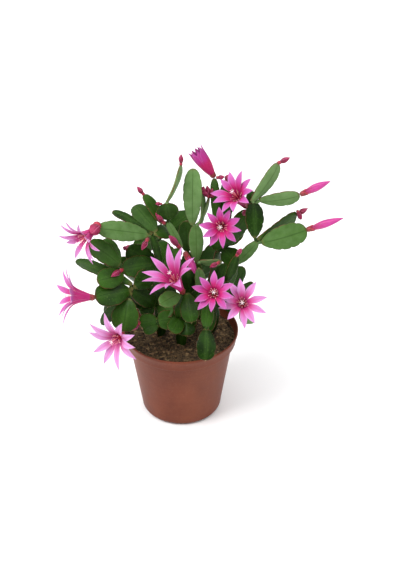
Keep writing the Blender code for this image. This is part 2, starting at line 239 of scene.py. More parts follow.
class Wire:
    """A node's output that takes part in sums, so that a pattern reads as an expression."""

    def __init__(self, look, socket):
        self.look = look
        self.socket = socket

    def math(self, operation, *others):
        """One Math node on this value and the others."""
        sockets = dict(enumerate((self, *others)))
        return self.look.node("ShaderNodeMath", {"operation": operation}, sockets)

    def __add__(self, other):
        return self.math("ADD", other)

    def __radd__(self, other):
        return self.math("ADD", other)

    def __sub__(self, other):
        return self.math("SUBTRACT", other)

    def __rsub__(self, other):
        return (self * -1) + other

    def __mul__(self, other):
        return self.math("MULTIPLY", other)

    def __rmul__(self, other):
        return self.math("MULTIPLY", other)

    def __abs__(self):
        return self.math("ABSOLUTE")

    def sine(self):
        return self.math("SINE")

    def ease(self, low, high):
        """0 below low, 1 above high and a smooth rise between them."""
        settings = {"interpolation_type": "SMOOTHSTEP"}
        sockets = {"Value": self, "From Min": low, "From Max": high}
        return self.look.node("ShaderNodeMapRange", settings, sockets)


class Look:
    """One procedural material and the nodes that make it."""

    def __init__(self, name, constants):
        self.material = bpy.data.materials.new(name)
        self.material.use_nodes = True
        self.tree = self.material.node_tree
        self.shader = self.tree.nodes["Principled BSDF"]
        for socket, value in constants.items():
            self.shader.inputs[socket].default_value = value

    def feed(self, socket, value):
        """Links a wire to a socket, or sets the socket to a plain value."""
        if isinstance(value, Wire):
            self.tree.links.new(value.socket, socket)
        else:
            socket.default_value = value

    def node(self, kind, settings, sockets, output=0):
        """Adds a node with its settings and its sockets' values or links, and returns one output."""
        made = self.tree.nodes.new(kind)
        for name, value in settings.items():
            setattr(made, name, value)
        for key, value in sockets.items():
            self.feed(made.inputs[key], value)
        return Wire(self, made.outputs[output])

    def place(self):
        """Where a point lies on its piece."""
        return self.node("ShaderNodeTexCoord", {}, {}, "Object")

    def kept(self, name):
        """A number kept on the mesh's corners."""
        return self.node("ShaderNodeAttribute", {"attribute_name": name}, {}, "Fac")

    def noise(self, scale, detail=2.0, vector=None):
        """A soft random pattern."""
        sockets = {"Vector": vector or self.place(), "Scale": scale, "Detail": detail}
        return self.node("ShaderNodeTexNoise", {}, sockets)

    def specks(self, scale):
        """A random number for each small cell."""
        cells = self.node("ShaderNodeTexVoronoi", {}, {"Vector": self.place(), "Scale": scale}, "Color")
        return self.node("ShaderNodeSeparateColor", {}, {"Color": cells}, "Red")

    def mix(self, share, first, second):
        """The first colour with a share of the second laid over it."""
        settings = {"data_type": "RGBA"}
        return self.node("ShaderNodeMix", settings, {0: share, 6: first, 7: second}, 2)

    def stretched(self, scale):
        """Object places with each axis scaled on its own."""
        settings = {"operation": "MULTIPLY"}
        return self.node("ShaderNodeVectorMath", settings, {0: self.place(), 1: scale})

    def bump(self, height, depth, strength=1.0):
        sockets = {"Height": height, "Distance": depth, "Strength": strength}
        return self.node("ShaderNodeBump", {}, sockets)

    def finish(self, colour, roughness, normal):
        self.feed(self.shader.inputs["Base Color"], colour)
        self.feed(self.shader.inputs["Roughness"], roughness)
        self.feed(self.shader.inputs["Normal"], normal)
        return self.material


def leaf_material():
    """Waxy green skin: a darker midrib line that is partly painted shade in its fold, pale bloom that is
    partly painted light on the top and outer segments, deep green that is partly painted shade on the inner
    ones, red-brown rims and a corky foot.
    """
    look = Look("waxy_green_segment", {"Specular IOR Level": 0.11})
    across = abs(look.kept("across"))
    along = look.kept("along")
    tone = look.kept("tone")
    bloom = look.kept("bloom")
    blotch = look.noise(70.0, 4.0)
    grain = look.noise(700.0, 3.0)
    wax = look.noise(160.0, 3.0)
    # The darkest green, set by each segment's tone, is painted shade on inner, low and rooted segments as well
    # as their own deeper colour.
    depth = (tone * 0.55 + blotch * 0.6).ease(0.15, 0.85)
    green = look.mix(depth, linear(9, 26, 2), linear(46, 84, 14))
    # The grey-green is waxy bloom and also painted light on the top and outer segments.
    green = look.mix((bloom * (wax * 0.7 + 0.62)).ease(0.12, 1.05), green, linear(112, 144, 90))
    rib = 1 - across.ease(0.01, 0.09)
    green = look.mix((1 - across.ease(0.08, 0.40)) * 0.16, green, linear(80, 116, 48))
    # A dark line down the midrib: painted shade in its fold.
    green = look.mix(rib * 0.42, green, linear(22, 48, 12))
    freckle = grain.ease(0.57, 0.72) * 0.34
    green = look.mix(freckle, green, linear(80, 112, 50))
    rim = (across + wax * 0.08).ease(0.955, 1.06) + (along + wax * 0.05).ease(0.975, 1.04) * 0.6
    green = look.mix(rim * (blotch.ease(0.30, 0.60) * 0.80 + 0.16), green, linear(92, 44, 34))
    cork = (1 - along.ease(0.0, 0.10)) * (grain * 0.5 + 0.25)
    colour = look.mix(cork, green, linear(116, 104, 62))
    roughness = blotch * 0.20 + bloom * 0.20 + 0.24
    height = grain * 0.25 + wax * 0.5 - rib * 0.35
    return look.finish(colour, roughness, look.bump(height, 0.0006, 0.55))


def bristle_material():
    """Dry straw-coloured bristles."""
    look = Look("straw_bristle", {})
    grain = look.noise(900.0)
    colour = look.mix(grain.ease(0.3, 0.7), linear(150, 112, 70), linear(214, 190, 140))
    return look.finish(colour, grain * 0.2 + 0.6, look.bump(grain, 0.0002))


def petal_material():
    """A pink tepal: a deep magenta throat, fine veins and paler margins."""
    constants = {"Specular IOR Level": 0.20, "Subsurface Weight": 0.06, "Subsurface Scale": 0.0012}
    look = Look("pink_tepal", constants)
    across = look.kept("across")
    along = look.kept("along")
    tone = look.kept("tone")
    pale = look.kept("bloom")
    cloud = look.noise(150.0, 3.0)
    grain = look.noise(1400.0, 2.0)
    edge = abs(across)
    vein = (across * 27.0 + cloud * 2.0).sine() * 0.5 + 0.5
    tip = look.mix(pale.ease(0.35, 0.95), linear(192, 112, 184), linear(214, 162, 212))
    blush = (along * 1.25 + pale * 0.72 + tone * 0.15 + cloud * 0.25 - 0.78).ease(0.0, 1.12)
    colour = look.mix(blush, linear(168, 40, 126), tip)
    colour = look.mix((1 - edge.ease(0.04, 0.46)) * 0.30, colour, linear(200, 52, 142))
    colour = look.mix(edge.ease(0.62, 1.0) * (pale * 0.42 + 0.16), colour, linear(218, 172, 218))
    colour = look.mix(vein * 0.16, colour, linear(188, 40, 130))
    throat = 1 - along.ease(0.34, 0.62)
    colour = look.mix(throat * (0.84 - pale * 0.46), colour, linear(188, 26, 92))
    colour = look.mix(grain.ease(0.55, 0.8) * 0.10, colour, linear(244, 196, 230))
    roughness = cloud * 0.18 + 0.38
    height = vein * 0.55 + grain * 0.35 - (1 - edge.ease(0.0, 0.16)) * 0.8
    return look.finish(colour, roughness, look.bump(height, 0.0004, 0.5))


def bud_material():
    """Furled tepals, dark red when young and pink when grown."""
    constants = {"Specular IOR Level": 0.25, "Subsurface Weight": 0.10, "Subsurface Scale": 0.0015}
    look = Look("furled_bud", constants)
    across = look.kept("across")
    along = look.kept("along")
    tone = look.kept("tone")
    cloud = look.noise(260.0, 3.0)
    grain = look.noise(1500.0, 2.0)
    young = look.mix(along.ease(0.1, 0.9), linear(102, 24, 40), linear(152, 34, 74))
    grown = look.mix((along + cloud * 0.2).ease(0.08, 0.62), linear(140, 20, 62), linear(190, 58, 142))
    colour = look.mix(tone.ease(0.25, 0.75), young, grown)
    vein = (across * 16.0 + cloud * 3.0).sine() * 0.5 + 0.5
    colour = look.mix(vein * 0.20, colour, linear(160, 24, 84))
    colour = look.mix(abs(across).ease(0.74, 1.0) * 0.42, colour, linear(232, 128, 176))
    colour = look.mix(grain.ease(0.52, 0.75) * 0.18, colour, linear(246, 170, 212))
    height = vein * 0.5 + grain * 0.4
    return look.finish(colour, cloud * 0.2 + 0.34, look.bump(height, 0.0004, 0.5))


def calyx_material():
    """The firm red-brown receptacle under each blossom and bud."""
    look = Look("red_brown_receptacle", {"Specular IOR Level": 0.45})
    along = look.kept("along")
    cloud = look.noise(330.0, 3.0)
    grain = look.noise(1500.0, 2.0)
    colour = look.mix((along + cloud * 0.4).ease(0.35, 1.0), linear(112, 46, 40), linear(176, 32, 66))
    colour = look.mix(grain.ease(0.5, 0.8) * 0.25, colour, linear(214, 120, 96))
    return look.finish(colour, cloud * 0.25 + 0.30, look.bump(grain + cloud, 0.0004, 0.5))


def stamen_material():
    """Red filaments that pale upwards, with cream anthers and a white stigma."""
    look = Look("white_stigma_and_filament", {"Subsurface Weight": 0.15, "Subsurface Scale": 0.001})
    along = look.kept("along")
    tone = look.kept("tone")
    grain = look.noise(1800.0, 2.0)
    thread = look.mix(along.ease(0.0, 0.75), linear(200, 36, 70), linear(244, 150, 156))
    colour = look.mix(tone.ease(0.2, 0.4), thread, linear(246, 196, 190))
    colour = look.mix(tone.ease(0.7, 0.9), colour, linear(250, 228, 232))
    colour = look.mix(grain.ease(0.5, 0.8) * 0.2, colour, linear(236, 190, 160))
    return look.finish(colour, grain * 0.2 + 0.42, look.bump(grain, 0.0002, 0.5))


def soil_material():
    """Moist brown peat with pale and dark specks, and crumbs each of its own tone."""
    look = Look("peat_soil", {"Specular IOR Level": 0.20})
    lump = look.noise(150.0, 5.0)
    grain = look.noise(620.0, 4.0)
    specks = look.specks(420.0)
    tone = look.kept("tone")
    damp = (lump * 0.35 + grain * 0.75).ease(0.36, 0.78)
    colour = look.mix(damp, linear(26, 18, 11), linear(104, 83, 57))
    colour = look.mix(specks.ease(0.80, 0.95) * 0.7, colour, linear(142, 116, 82))
    colour = look.mix((1 - specks.ease(0.08, 0.22)) * 0.7, colour, linear(26, 18, 12))
    colour = look.mix(tone.ease(0.55, 1.0) * 0.8, colour, linear(130, 97, 58))
    roughness = grain * 0.25 + 0.72
    return look.finish(colour, roughness, look.bump(lump * 0.6 + grain, 0.0016, 0.9))


def pot_material():
    """Brown plastic with a dull haze, moulding rings, fine grain and light scuffs."""
    look = Look("terracotta_plastic", {"Specular IOR Level": 0.17})
    cloud = look.noise(34.0, 4.0)
    haze = look.noise(12.0, 5.0, look.stretched((1, 1, 0.55)))
    ring = look.noise(1.0, 2.0, look.stretched((10, 10, 420)))
    grain = look.noise(1300.0, 3.0)
    scuff = look.noise(1.0, 3.0, look.stretched((240, 240, 26)))
    shade = (cloud * 0.8 + ring * 0.2).ease(0.30, 0.75)
    colour = look.mix(shade, linear(98, 45, 27), linear(116, 57, 36))
    colour = look.mix(haze.ease(0.48, 0.72) * 0.35, colour, linear(134, 78, 54))
    colour = look.mix(grain.ease(0.54, 0.70) * 0.34, colour, linear(146, 90, 66))
    colour = look.mix(scuff.ease(0.66, 0.80) * 0.18, colour, linear(140, 92, 78))
    roughness = cloud * 0.14 + scuff * 0.10 + haze * 0.10 + 0.30
    height = grain * 0.30 + ring * 0.16 + scuff * 0.12
    return look.finish(colour, roughness, look.bump(height, 0.0003, 0.45))


def floor_material():
    """A nearly white floor."""
    look = Look("pale_floor", {"Specular IOR Level": 0.1})
    cloud = look.noise(3.0, 2.0)
    colour = look.mix(cloud, linear(244, 244, 245), linear(248, 248, 248))
    return look.finish(colour, cloud * 0.05 + 0.85, look.bump(cloud, 0.0001))


# ---------------------------------------------------------------- shapes


def new_bm():
    """A mesh whose corners keep how far along and across a piece they are, its tone and its bloom."""
    bm = bmesh.new()
    for name in ("along", "across", "tone", "bloom"):
        bm.verts.layers.float.new(name)
    return bm


def mark(bm, vert, along, across, tone, bloom):
    """Keeps a corner's four numbers for the materials."""
    layers = bm.verts.layers.float
    vert[layers["along"]] = along
    vert[layers["across"]] = across
    vert[layers["tone"]] = tone
    vert[layers["bloom"]] = bloom


def add_sheet(bm, shape, steps, tone=0.5, bloom=0.0):
    """Adds a closed thin body. shape(across, along, side) places each corner, side being 1 above, -1 below."""
    across_steps, along_steps = steps
    grid = bmesh.ops.create_grid(bm, x_segments=across_steps, y_segments=along_steps, size=1)["verts"]
    faces = list({face for vert in grid for face in vert.link_faces})
    under = bmesh.ops.extrude_face_region(bm, geom=faces)["geom"]
    lower = [item for item in under if isinstance(item, bmesh.types.BMVert)]
    for side, verts in ((1, grid), (-1, lower)):
        for vert in verts:
            across = math.sin(vert.co.x * math.pi / 2)
            along = (vert.co.y + 1) / 2
            vert.co = shape(across, along, side)
            mark(bm, vert, along, across, tone, bloom)
    whole = {face for vert in grid + lower for face in vert.link_faces}
    bmesh.ops.recalc_face_normals(bm, faces=list(whole))


def add_round(bm, shape, sides, rings, tone=0.5, bloom=0.0):
    """Adds a closed round body. shape(along, around) places each corner of a ball of rings."""
    ball = bmesh.ops.create_uvsphere(bm, u_segments=sides, v_segments=rings, radius=1)["verts"]
    for vert in ball:
        along = 1 - math.acos(max(-1, min(1, vert.co.z))) / math.pi
        around = math.atan2(vert.co.y, vert.co.x)
        vert.co = shape(along, around)
        mark(bm, vert, along, around / math.pi, tone, bloom)
    whole = {face for vert in ball for face in vert.link_faces}
    bmesh.ops.recalc_face_normals(bm, faces=list(whole))


def add_strand(bm, start, bend, end, radius, sides=5, rings=7, tone=0.0):
    """A thin round thread from start to end that leans towards bend on the way."""
    run = (end - start).normalized()
    side = run.orthogonal().normalized()
    other = run.cross(side)

    def shape(along, around):
        middle = start * (1 - along) ** 2 + bend * 2 * along * (1 - along) + end * along**2
        thick = radius * min(1, 12 * along, 12 * (1 - along))
        return middle + (side * math.cos(around) + other * math.sin(around)) * thick

    add_round(bm, shape, sides, rings, tone)


def make_piece(name, bm, materials, replaced=()):
    """Turns a finished mesh into a shown piece that rides on the body and hides the CAD nodes it takes the
    place of.
    """
    mesh = bpy.data.meshes.new(name)
    bm.to_mesh(mesh)
    bm.free()
    for material in materials:
        mesh.materials.append(material)
    mesh.shade_smooth()
    mesh.set_sharp_from_angle(angle=math.radians(62))
    obj = bpy.data.objects.new(name, mesh)
    bpy.context.scene.collection.objects.link(obj)
    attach(obj, "root")
    if replaced:
        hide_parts(*replaced)
    return obj


# ---------------------------------------------------------------- reading the CAD frame


def corners_of(node):
    """Every corner of a CAD node once."""
    spots = np.array([tuple(vert.co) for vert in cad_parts[node].data.vertices])
    return np.unique(np.round(spots, 6), axis=0)


def main_axes(spots):
    """The middle of some spots, then how far and which way they spread, the least spread first."""
    middle = spots.mean(axis=0)
    sizes, axes = np.linalg.eigh(np.cov((spots - middle).T))
    return middle, sizes, axes


def read_segment(node):
    """How a CAD segment lies: its frame at the foot (X across, Y along, Z out of its face), length, width."""
    spots = corners_of(node)
    middle, sizes, axes = main_axes(spots)
    flat = (spots - middle) @ axes
    fuller = {way: (np.abs(flat[:, 3 - way]) * flat[:, way]).sum() for way in (1, 2)}
    way = 2 if sizes[2] > 1.6 * sizes[1] else max(fuller, key=lambda key: abs(fuller[key]))
    reach = flat[:, way] * np.sign(fuller[way])
    foot = Vector(spots[reach < reach.min() + 1 * MM].mean(axis=0))
    tip = Vector(spots[reach > reach.max() - 1 * MM].mean(axis=0))
    along = (tip - foot).normalized()
    across = Vector(axes[:, 3 - way])
    face = across.cross(along).normalized()
    if (Vector(middle) - foot).dot(face) < 0:
        face.negate()
    across = along.cross(face)
    width = 2 * np.abs(flat[:, 3 - way]).max()
    return framed(foot, along, face), (tip - foot).length, width


def framed(place, along, face):
    """A frame at a place with Y along a piece, Z out of its face and X across it."""
    across = along.cross(face)
    made = Matrix((across, along, face)).transposed().to_4x4()
    made.translation = place
    return made


def read_round(node):
    """How a CAD blossom or bud lies: its frame at the foot with Z along it, its length and its width."""
    spots = corners_of(node)
    middle, sizes, axes = main_axes(spots)
    odd_one = 2 if sizes[2] - sizes[1] > sizes[1] - sizes[0] else 0
    axis = axes[:, odd_one]
    reach = (spots - middle) @ axis
    away = np.linalg.norm((spots - middle) - np.outer(reach, axis), axis=1)
    if (away**2 * reach).sum() < 0:
        axis, reach = -axis, -reach
    along = Vector(axis)
    made = along.to_track_quat("Z", "Y").to_matrix().to_4x4()
    made.translation = Vector(middle) + along * float(reach.min())
    return made, float(np.ptp(reach)), 2 * float(away.max())


def growing_frame(place, direction, turn):
    """The frame of a segment that grows in a direction with its flat side turned forwards."""
    face = FACING - FACING.dot(direction) * direction
    face.normalize()
    face.rotate(Matrix.Rotation(math.radians(turn), 3, direction))
    return framed(place, direction, face)


def direction_of(heading, rise):
    """The direction of a heading round the pot and a rise over the level, in degrees."""
    turn, lift = math.radians(heading), math.radians(rise)
    return Vector((math.cos(lift) * math.cos(turn), math.cos(lift) * math.sin(turn), math.sin(lift)))


# ---------------------------------------------------------------- stem segments


def outline(along, width):
    """Half the width of a segment at a share of its length: narrow foot, full middle, blunt end."""
    foot = FOOT_WIDTH / width
    body = foot + (1 - foot) * math.sin(min(along / WIDEST, 1) * math.pi / 2) ** 0.8
    shoulder = max(0, 1 - (max(0, along - WIDEST) / 0.45) ** 2.5) ** 0.5
    end = 1 - 0.35 * max(0, (along - 0.96) / 0.04) ** 2
    return width / 2 * min(body, max(shoulder, BLUNT)) * end


def grow_segment(bm, place, length, width, thick, bloom, chance):
    """One flat stem segment with scalloped margins, a midrib, a slight twist and bristles in its notches."""
    scallops = max(2, round(length / SCALLOP_LENGTH))
    phases = (chance.uniform(0, 1), chance.uniform(0, 1))
    depth = chance.uniform(0.07, 0.11)
    twist = math.radians(chance.uniform(-6, 6))
    wave = chance.uniform(0, math.tau)
    arch = 0.05 * length

    def half_width(along, side):
        phase = phases[0] if side > 0 else phases[1]
        notch = (1 - abs(math.sin(math.pi * (scallops * along + phase)))) ** 3
        fade = min(1, 6 * along) * min(1, 9 * (1 - along))
        return outline(along, width) * (1 - depth * notch * fade)

    def surface(across, along, side):
        half = half_width(along, across)
        lift = arch * 4 * along * (1 - along) + 0.10 * half * across * across
        lift += 0.35 * MM * math.sin(wave + 7 * along) * across * abs(across)
        lens = (1 - abs(across) ** 2.3) ** 0.6 * 0.80 + 0.20
        ends = min(1, 0.62 + 2.2 * min(along, 1 - along))
        rib = RIB_HEIGHT * math.exp(-((across / 0.15) ** 2)) * (1 - 0.4 * along)
        raised = lift + side * (thick / 2 * lens * ends + rib * ends)
        spot = Vector((across * half, along * length, raised))
        spot.rotate(Matrix.Rotation(twist * math.sin(math.pi * along), 3, "Y"))
        return place @ spot

    # A segment's tone follows its bloom, so segments set with little bloom come out deeper green: painted
    # shade on the inner and low ones.
    tone = max(0, min(1, 0.05 + 1.3 * bloom + chance.uniform(-0.12, 0.22)))
    add_sheet(bm, surface, (12, max(20, round(length / MM * 0.75))), tone, bloom)
    for side in (-1, 1):
        phase = phases[0] if side > 0 else phases[1]
        for count in range(scallops + 1):
            along = (count - phase + (1 if phase > 0.5 else 0)) / scallops
            if 0.12 < along < 0.97:
                add_bristle(bm, surface(side, along, 0), place, side, chance)
    for _ in range(END_BRISTLES):
        add_bristle(bm, surface(chance.uniform(-0.4, 0.4), 1, 0), place, 0, chance)


def add_bristle(bm, root, place, side, chance):
    """One short straw bristle standing out of a notch or the blunt end."""
    lean = Vector((side + chance.uniform(-0.4, 0.4), 0.9, chance.uniform(-0.5, 0.5))).normalized()
    way = (place.to_3x3() @ lean).normalized()
    length = chance.uniform(0.9, 1.8) * MM
    frame_there = way.to_track_quat("Z", "Y").to_matrix().to_4x4()
    frame_there.translation = root + way * length * 0.35
    made = bmesh.ops.create_cone(
        bm, cap_ends=True, segments=3, radius1=0.10 * MM, radius2=0.02 * MM, depth=length, matrix=frame_there
    )["verts"]
    for face in {face for vert in made for face in vert.link_faces}:
        face.material_index = 1


def add_joint(bm, start, end, bloom):
    """The narrow woody neck between one segment's end and the next one's foot."""
    run = end - start
    way = run.normalized()
    side = way.orthogonal().normalized()
    other = way.cross(side)

    def shape(along, around):
        thick = NECK_RADIUS * math.sin(math.pi * along) ** 0.55
        return start + run * along + (side * math.cos(around) + other * math.sin(around)) * thick

    add_round(bm, shape, 10, 8, 0.2, bloom)


def place_on_tip(tips, parent, direction, foot, shift):
    """Where a piece starts on a segment's end: shift mm to its side, and clear of it when it folds back."""
    end, growth, across, face = tips[parent]
    along = growth.dot(direction)
    slant = math.sqrt(max(0, 1 - along**2))
    folded = FOLD_CLEARANCE * max(0, 0.3 - along)
    return end + growth * foot * slant * 0.5 + across * shift * MM + face * folded


def tip_of(place, length):
    """A segment's end: its place, its growth direction, the way across it and the way out of its face."""
    growth = place.col[1].to_3d()
    return place.to_translation() + growth * length, growth, place.col[0].to_3d(), place.col[2].to_3d()


def nearest_tip(tips, node, foot):
    """The end of the other segment that lies nearest to a segment's foot."""
    others = [tip for name, tip in tips.items() if name != node]
    return min(others, key=lambda tip: (tip[0] - foot).length)


def build_segments(leaf, straw):
    """Every CAD segment shaped finely, each as its own piece. Returns where each one ends."""
    other_kinds = ("pot", "blossom", "long_bud")
    read = {node: read_segment(node) for node in sorted(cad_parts) if not node.startswith(other_kinds)}
    tips = {node: tip_of(place, length) for node, (place, length, _) in read.items()}
    for index, (node, (place, length, width)) in enumerate(read.items()):
        chance = random.Random(100 + index)
        rooted = node in ROOTS
        # Root segments get no bloom and so come out deep green, painted shade low in the plant.
        bloom = 0 if rooted else BLOOM_AND_PAINTED_LIGHT.get(node, PLAIN_BLOOM)
        thick = ROOT_THICKNESS if rooted else SEGMENT_THICKNESS
        bm = new_bm()
        grow_segment(bm, place, length, width, thick, bloom, chance)
        if not rooted:
            add_neck(bm, nearest_tip(tips, node, place.to_translation()), place, bloom)
        make_piece(f"{node}_segment", bm, (leaf, straw), (node,))
    return tips


def build_inner_segments(tips, leaf, straw):
    """The smaller segments that fill the plant out, grown from the ends of the CAD ones."""
    for index, (name, parent, length, width, heading, rise, turn, shift) in enumerate(INNER_SEGMENTS):
        direction = direction_of(heading, rise)
        place = growing_frame(place_on_tip(tips, parent, direction, FOOT_WIDTH, shift), direction, turn)
        chance = random.Random(300 + index)
        bloom = BLOOM_AND_PAINTED_LIGHT.get(name, chance.uniform(0.02, 0.32))
        bm = new_bm()
        grow_segment(bm, place, length * MM, width * MM, INNER_THICKNESS, bloom, chance)
        add_neck(bm, tips[parent], place, bloom)
        make_piece(f"{name}_segment", bm, (leaf, straw))
        tips[name] = tip_of(place, length * MM)


def add_neck(bm, parent_tip, place, bloom):
    """Joins a segment's foot to its parent's end, or reaches towards it as far as a neck does."""
    end, growth, _, _ = parent_tip
    foot = place.to_translation()
    inner = end - growth * 1.6 * MM
    inner = foot + (inner - foot) * min(1, NECK_LENGTH / max((inner - foot).length, 0.1 * MM))
    add_joint(bm, inner, foot + place.col[1].to_3d() * 2.4 * MM, bloom)


# ---------------------------------------------------------------- blossoms


def tepal_path(tube, mouth, size, opening, reach_share, rise):
    """Places along one tepal as (distance from the axis, height): up the tube and then out to the tip."""
    reach = (size / 2 - mouth) * reach_share
    lean = math.radians(8 + 76 * opening)
    out, up = math.sin(lean), math.cos(lean)
    path = [(2.2 * MM, 0.12 * tube), (0.58 * mouth, 0.32 * tube)]
    path += [(0.80 * mouth, 0.62 * tube), (0.97 * mouth, 0.9 * tube)]
    for step in range(1, 13):
        share = step / 12
        away = mouth + reach * share * out / max(math.sin(math.radians(60)), out)
        height = reach * share * up * 1.25 + reach * 0.07 * math.sin(share * math.pi)
        height += rise * MM * min(1, 2 * share) - reach * 0.04 * opening * share**3
        path.append((away, tube + height))
    points = [Vector((away, 0, height)) for away, height in path]
    for _ in range(3):
        inner = [(a + b * 2 + c) / 4 for a, b, c in zip(points, points[1:], points[2:])]
        points = [points[0], *inner, points[-1]]
    return points


def along_path(points, share):
    """The point and the way on at a share of a path's length."""
    steps = [(b - a).length for a, b in zip(points, points[1:])]
    left = max(0, min(share, 0.9999)) * sum(steps)
    for index, step in enumerate(steps):
        if left <= step or index == len(steps) - 1:
            part = left / step
            way = (points[index + 1] - points[index]).normalized()
            return points[index].lerp(points[index + 1], part), way
        left -= step


def add_tepal(bm, place, points, turn, half, tube_part, tone, pale, chance):
    """One lance-shaped tepal, channelled and finely pointed. tube_part of its length lies in the tube."""
    sway = chance.uniform(-0.06, 0.06)
    roll = chance.uniform(-0.16, 0.16)
    samples = []
    for step in range(TEPAL_STEPS + 1):
        share = step / TEPAL_STEPS
        free = max(0, share - TUBE_SHARE) / (1 - TUBE_SHARE)
        samples.append(along_path(points, tube_part * min(1, share / TUBE_SHARE) + (1 - tube_part) * free))
    spin = Matrix.Rotation(turn, 4, "Z")

    def surface(across, along, side):
        middle, way = samples[round(along * TEPAL_STEPS)]
        normal = Vector((-way.z, 0, way.x))
        if along < TUBE_SHARE:
            breadth = 0.38 + 0.34 * along / TUBE_SHARE
        else:
            free = (along - TUBE_SHARE) / (1 - TUBE_SHARE)
            breadth = 0.72 + 0.28 * math.sin(min(1, free / 0.40) * math.pi / 2)
            breadth *= max(0.02, 1 - max(0, (free - 0.30) / 0.70) ** 1.7)
        wide = half * breadth * across
        cup = 0.26 * abs(wide) * abs(across) + roll * wide * along
        thick = (0.26 * (1 - 0.6 * abs(across)) + 0.05) * MM
        spot = middle + normal * (cup + side * thick) + Vector((0, wide + sway * half * 3 * along**2, 0))
        return place @ (spin @ spot)

    add_sheet(bm, surface, (6, TEPAL_STEPS), tone, pale)


def add_receptacle(bm, place, length, radius, sides=14):
    """The five-ridged swelling that a blossom or a bud sits on."""

    def shape(along, around):
        ridge = 1 + 0.06 * math.cos(5 * around)
        swell = math.sin(math.pi * min(1, 0.10 + along * 0.86)) ** 0.5
        away = radius * ridge * swell
        height = length * (along * 1.12 - 0.12)
        return place @ Vector((away * math.cos(around), away * math.sin(around), height))

    add_round(bm, shape, sides, 12, 0.5)


def add_scale(bm, place, turn, radius, low, length, half):
    """A small red scale leaf lying on a receptacle or the foot of a tube."""

    def surface(across, along, side):
        breadth = math.sin(math.pi * (0.12 + 0.88 * along) ** 0.8) ** 0.8 if along < 0.999 else 0.02
        angle = turn + across * half / radius * max(0.03, breadth)
        away = radius + (0.15 + 0.5 * along) * MM + side * 0.16 * MM
        return place @ Vector((away * math.cos(angle), away * math.sin(angle), low + length * along))

    add_sheet(bm, surface, (4, 8), 0.5)


def build_blossom(node, looks, index):
    """One blossom in three pieces: tepals, a receptacle with scales, and stamens round a stigma."""
    tube, size, half, mouth = (measure * MM for measure in FLOWERS[node][:4])
    opening, pale = FLOWERS[node][4:]
    place, _, _ = read_round(node)
    chance = random.Random(500 + index)
    start = chance.uniform(0, math.tau)
    bm = new_bm()
    for count in range(TEPALS):
        inner = count % 2
        turn = start + math.tau * (count + chance.uniform(-0.22, 0.22)) / TEPALS
        reach_share = (0.92 if inner else 1.0) * chance.uniform(0.89, 1.05)
        rise = (1.6 if inner else 0.0) + chance.uniform(-1.2, 1.2) * abs(opening)
        lean = min(1, opening + (-0.06 if inner else 0.03) + chance.uniform(-0.04, 0.04))
        points = tepal_path(tube, mouth, size, lean, reach_share, rise)
        tube_part = tube / sum((b - a).length for a, b in zip(points, points[1:]))
        tone = chance.uniform(0, 1)
        breadth = half * chance.uniform(0.9, 1.08)
        add_tepal(bm, place, points, turn, breadth, tube_part, tone, pale, chance)
    make_piece(f"{node}_tepals", bm, (looks["petal"],), (node,))
    bm = new_bm()
    add_receptacle(bm, place, max(6.5 * MM, tube * 0.34), 3.2 * MM)
    for count in range(5):
        add_scale(bm, place, start + math.tau * count / 5, 2.9 * MM, tube * 0.16, 5 * MM, 1.7 * MM)
    make_piece(f"{node}_receptacle", bm, (looks["calyx"],))
    if opening > 0.2:
        build_stamens(node, place, tube, looks["stamen"], chance)


def build_stamens(node, place, tube, material, chance):
    """A ring of threads with anthers round one style, which ends in a star of stigma lobes."""
    bm = new_bm()
    turn = place.to_3x3()
    for count in range(STAMENS):
        around = math.tau * (count + chance.uniform(-0.3, 0.3)) / STAMENS
        outward = Vector((math.cos(around), math.sin(around), 0))
        lean = chance.uniform(0.22, 0.62)
        reach = chance.uniform(5.0, 8.0) * MM
        start = place @ (outward * 2.4 * MM + Vector((0, 0, tube * 0.72)))
        way = (turn @ (outward * lean + Vector((0, 0, 1)))).normalized()
        end = start + way * reach
        bend = start + turn @ Vector((0, 0, reach * 0.55))
        add_strand(bm, start, bend, end, 0.20 * MM)
        add_anther(bm, end, way, chance)
    root = place @ Vector((0, 0, tube * 0.5))
    top = place @ Vector((chance.uniform(-1, 1) * MM, chance.uniform(-1, 1) * MM, tube + 8.0 * MM))
    add_strand(bm, root, (root + top) / 2, top, 0.42 * MM, 7, 8, 0.15)
    for count in range(STIGMA_LOBES):
        around = math.tau * count / STIGMA_LOBES
        outward = turn @ Vector((math.cos(around), math.sin(around), 0))
        up = turn @ Vector((0, 0, 1))
        end = top + outward * 2.6 * MM + up * 1.4 * MM
        add_strand(bm, top - up * 0.4 * MM, top + outward * MM + up * 1.2 * MM, end, 0.26 * MM, 6, 7, 1.0)
    make_piece(f"{node}_stamens", bm, (material,))


def add_anther(bm, spot, way, chance):
    """A short pale bar across the end of a thread."""
    side = way.orthogonal().normalized()
    side.rotate(Matrix.Rotation(chance.uniform(0, math.tau), 3, way))
    half = side * 0.5 * MM
    add_strand(bm, spot - half, spot + way * 0.2 * MM, spot + half, 0.25 * MM, 6, 5, 0.5)


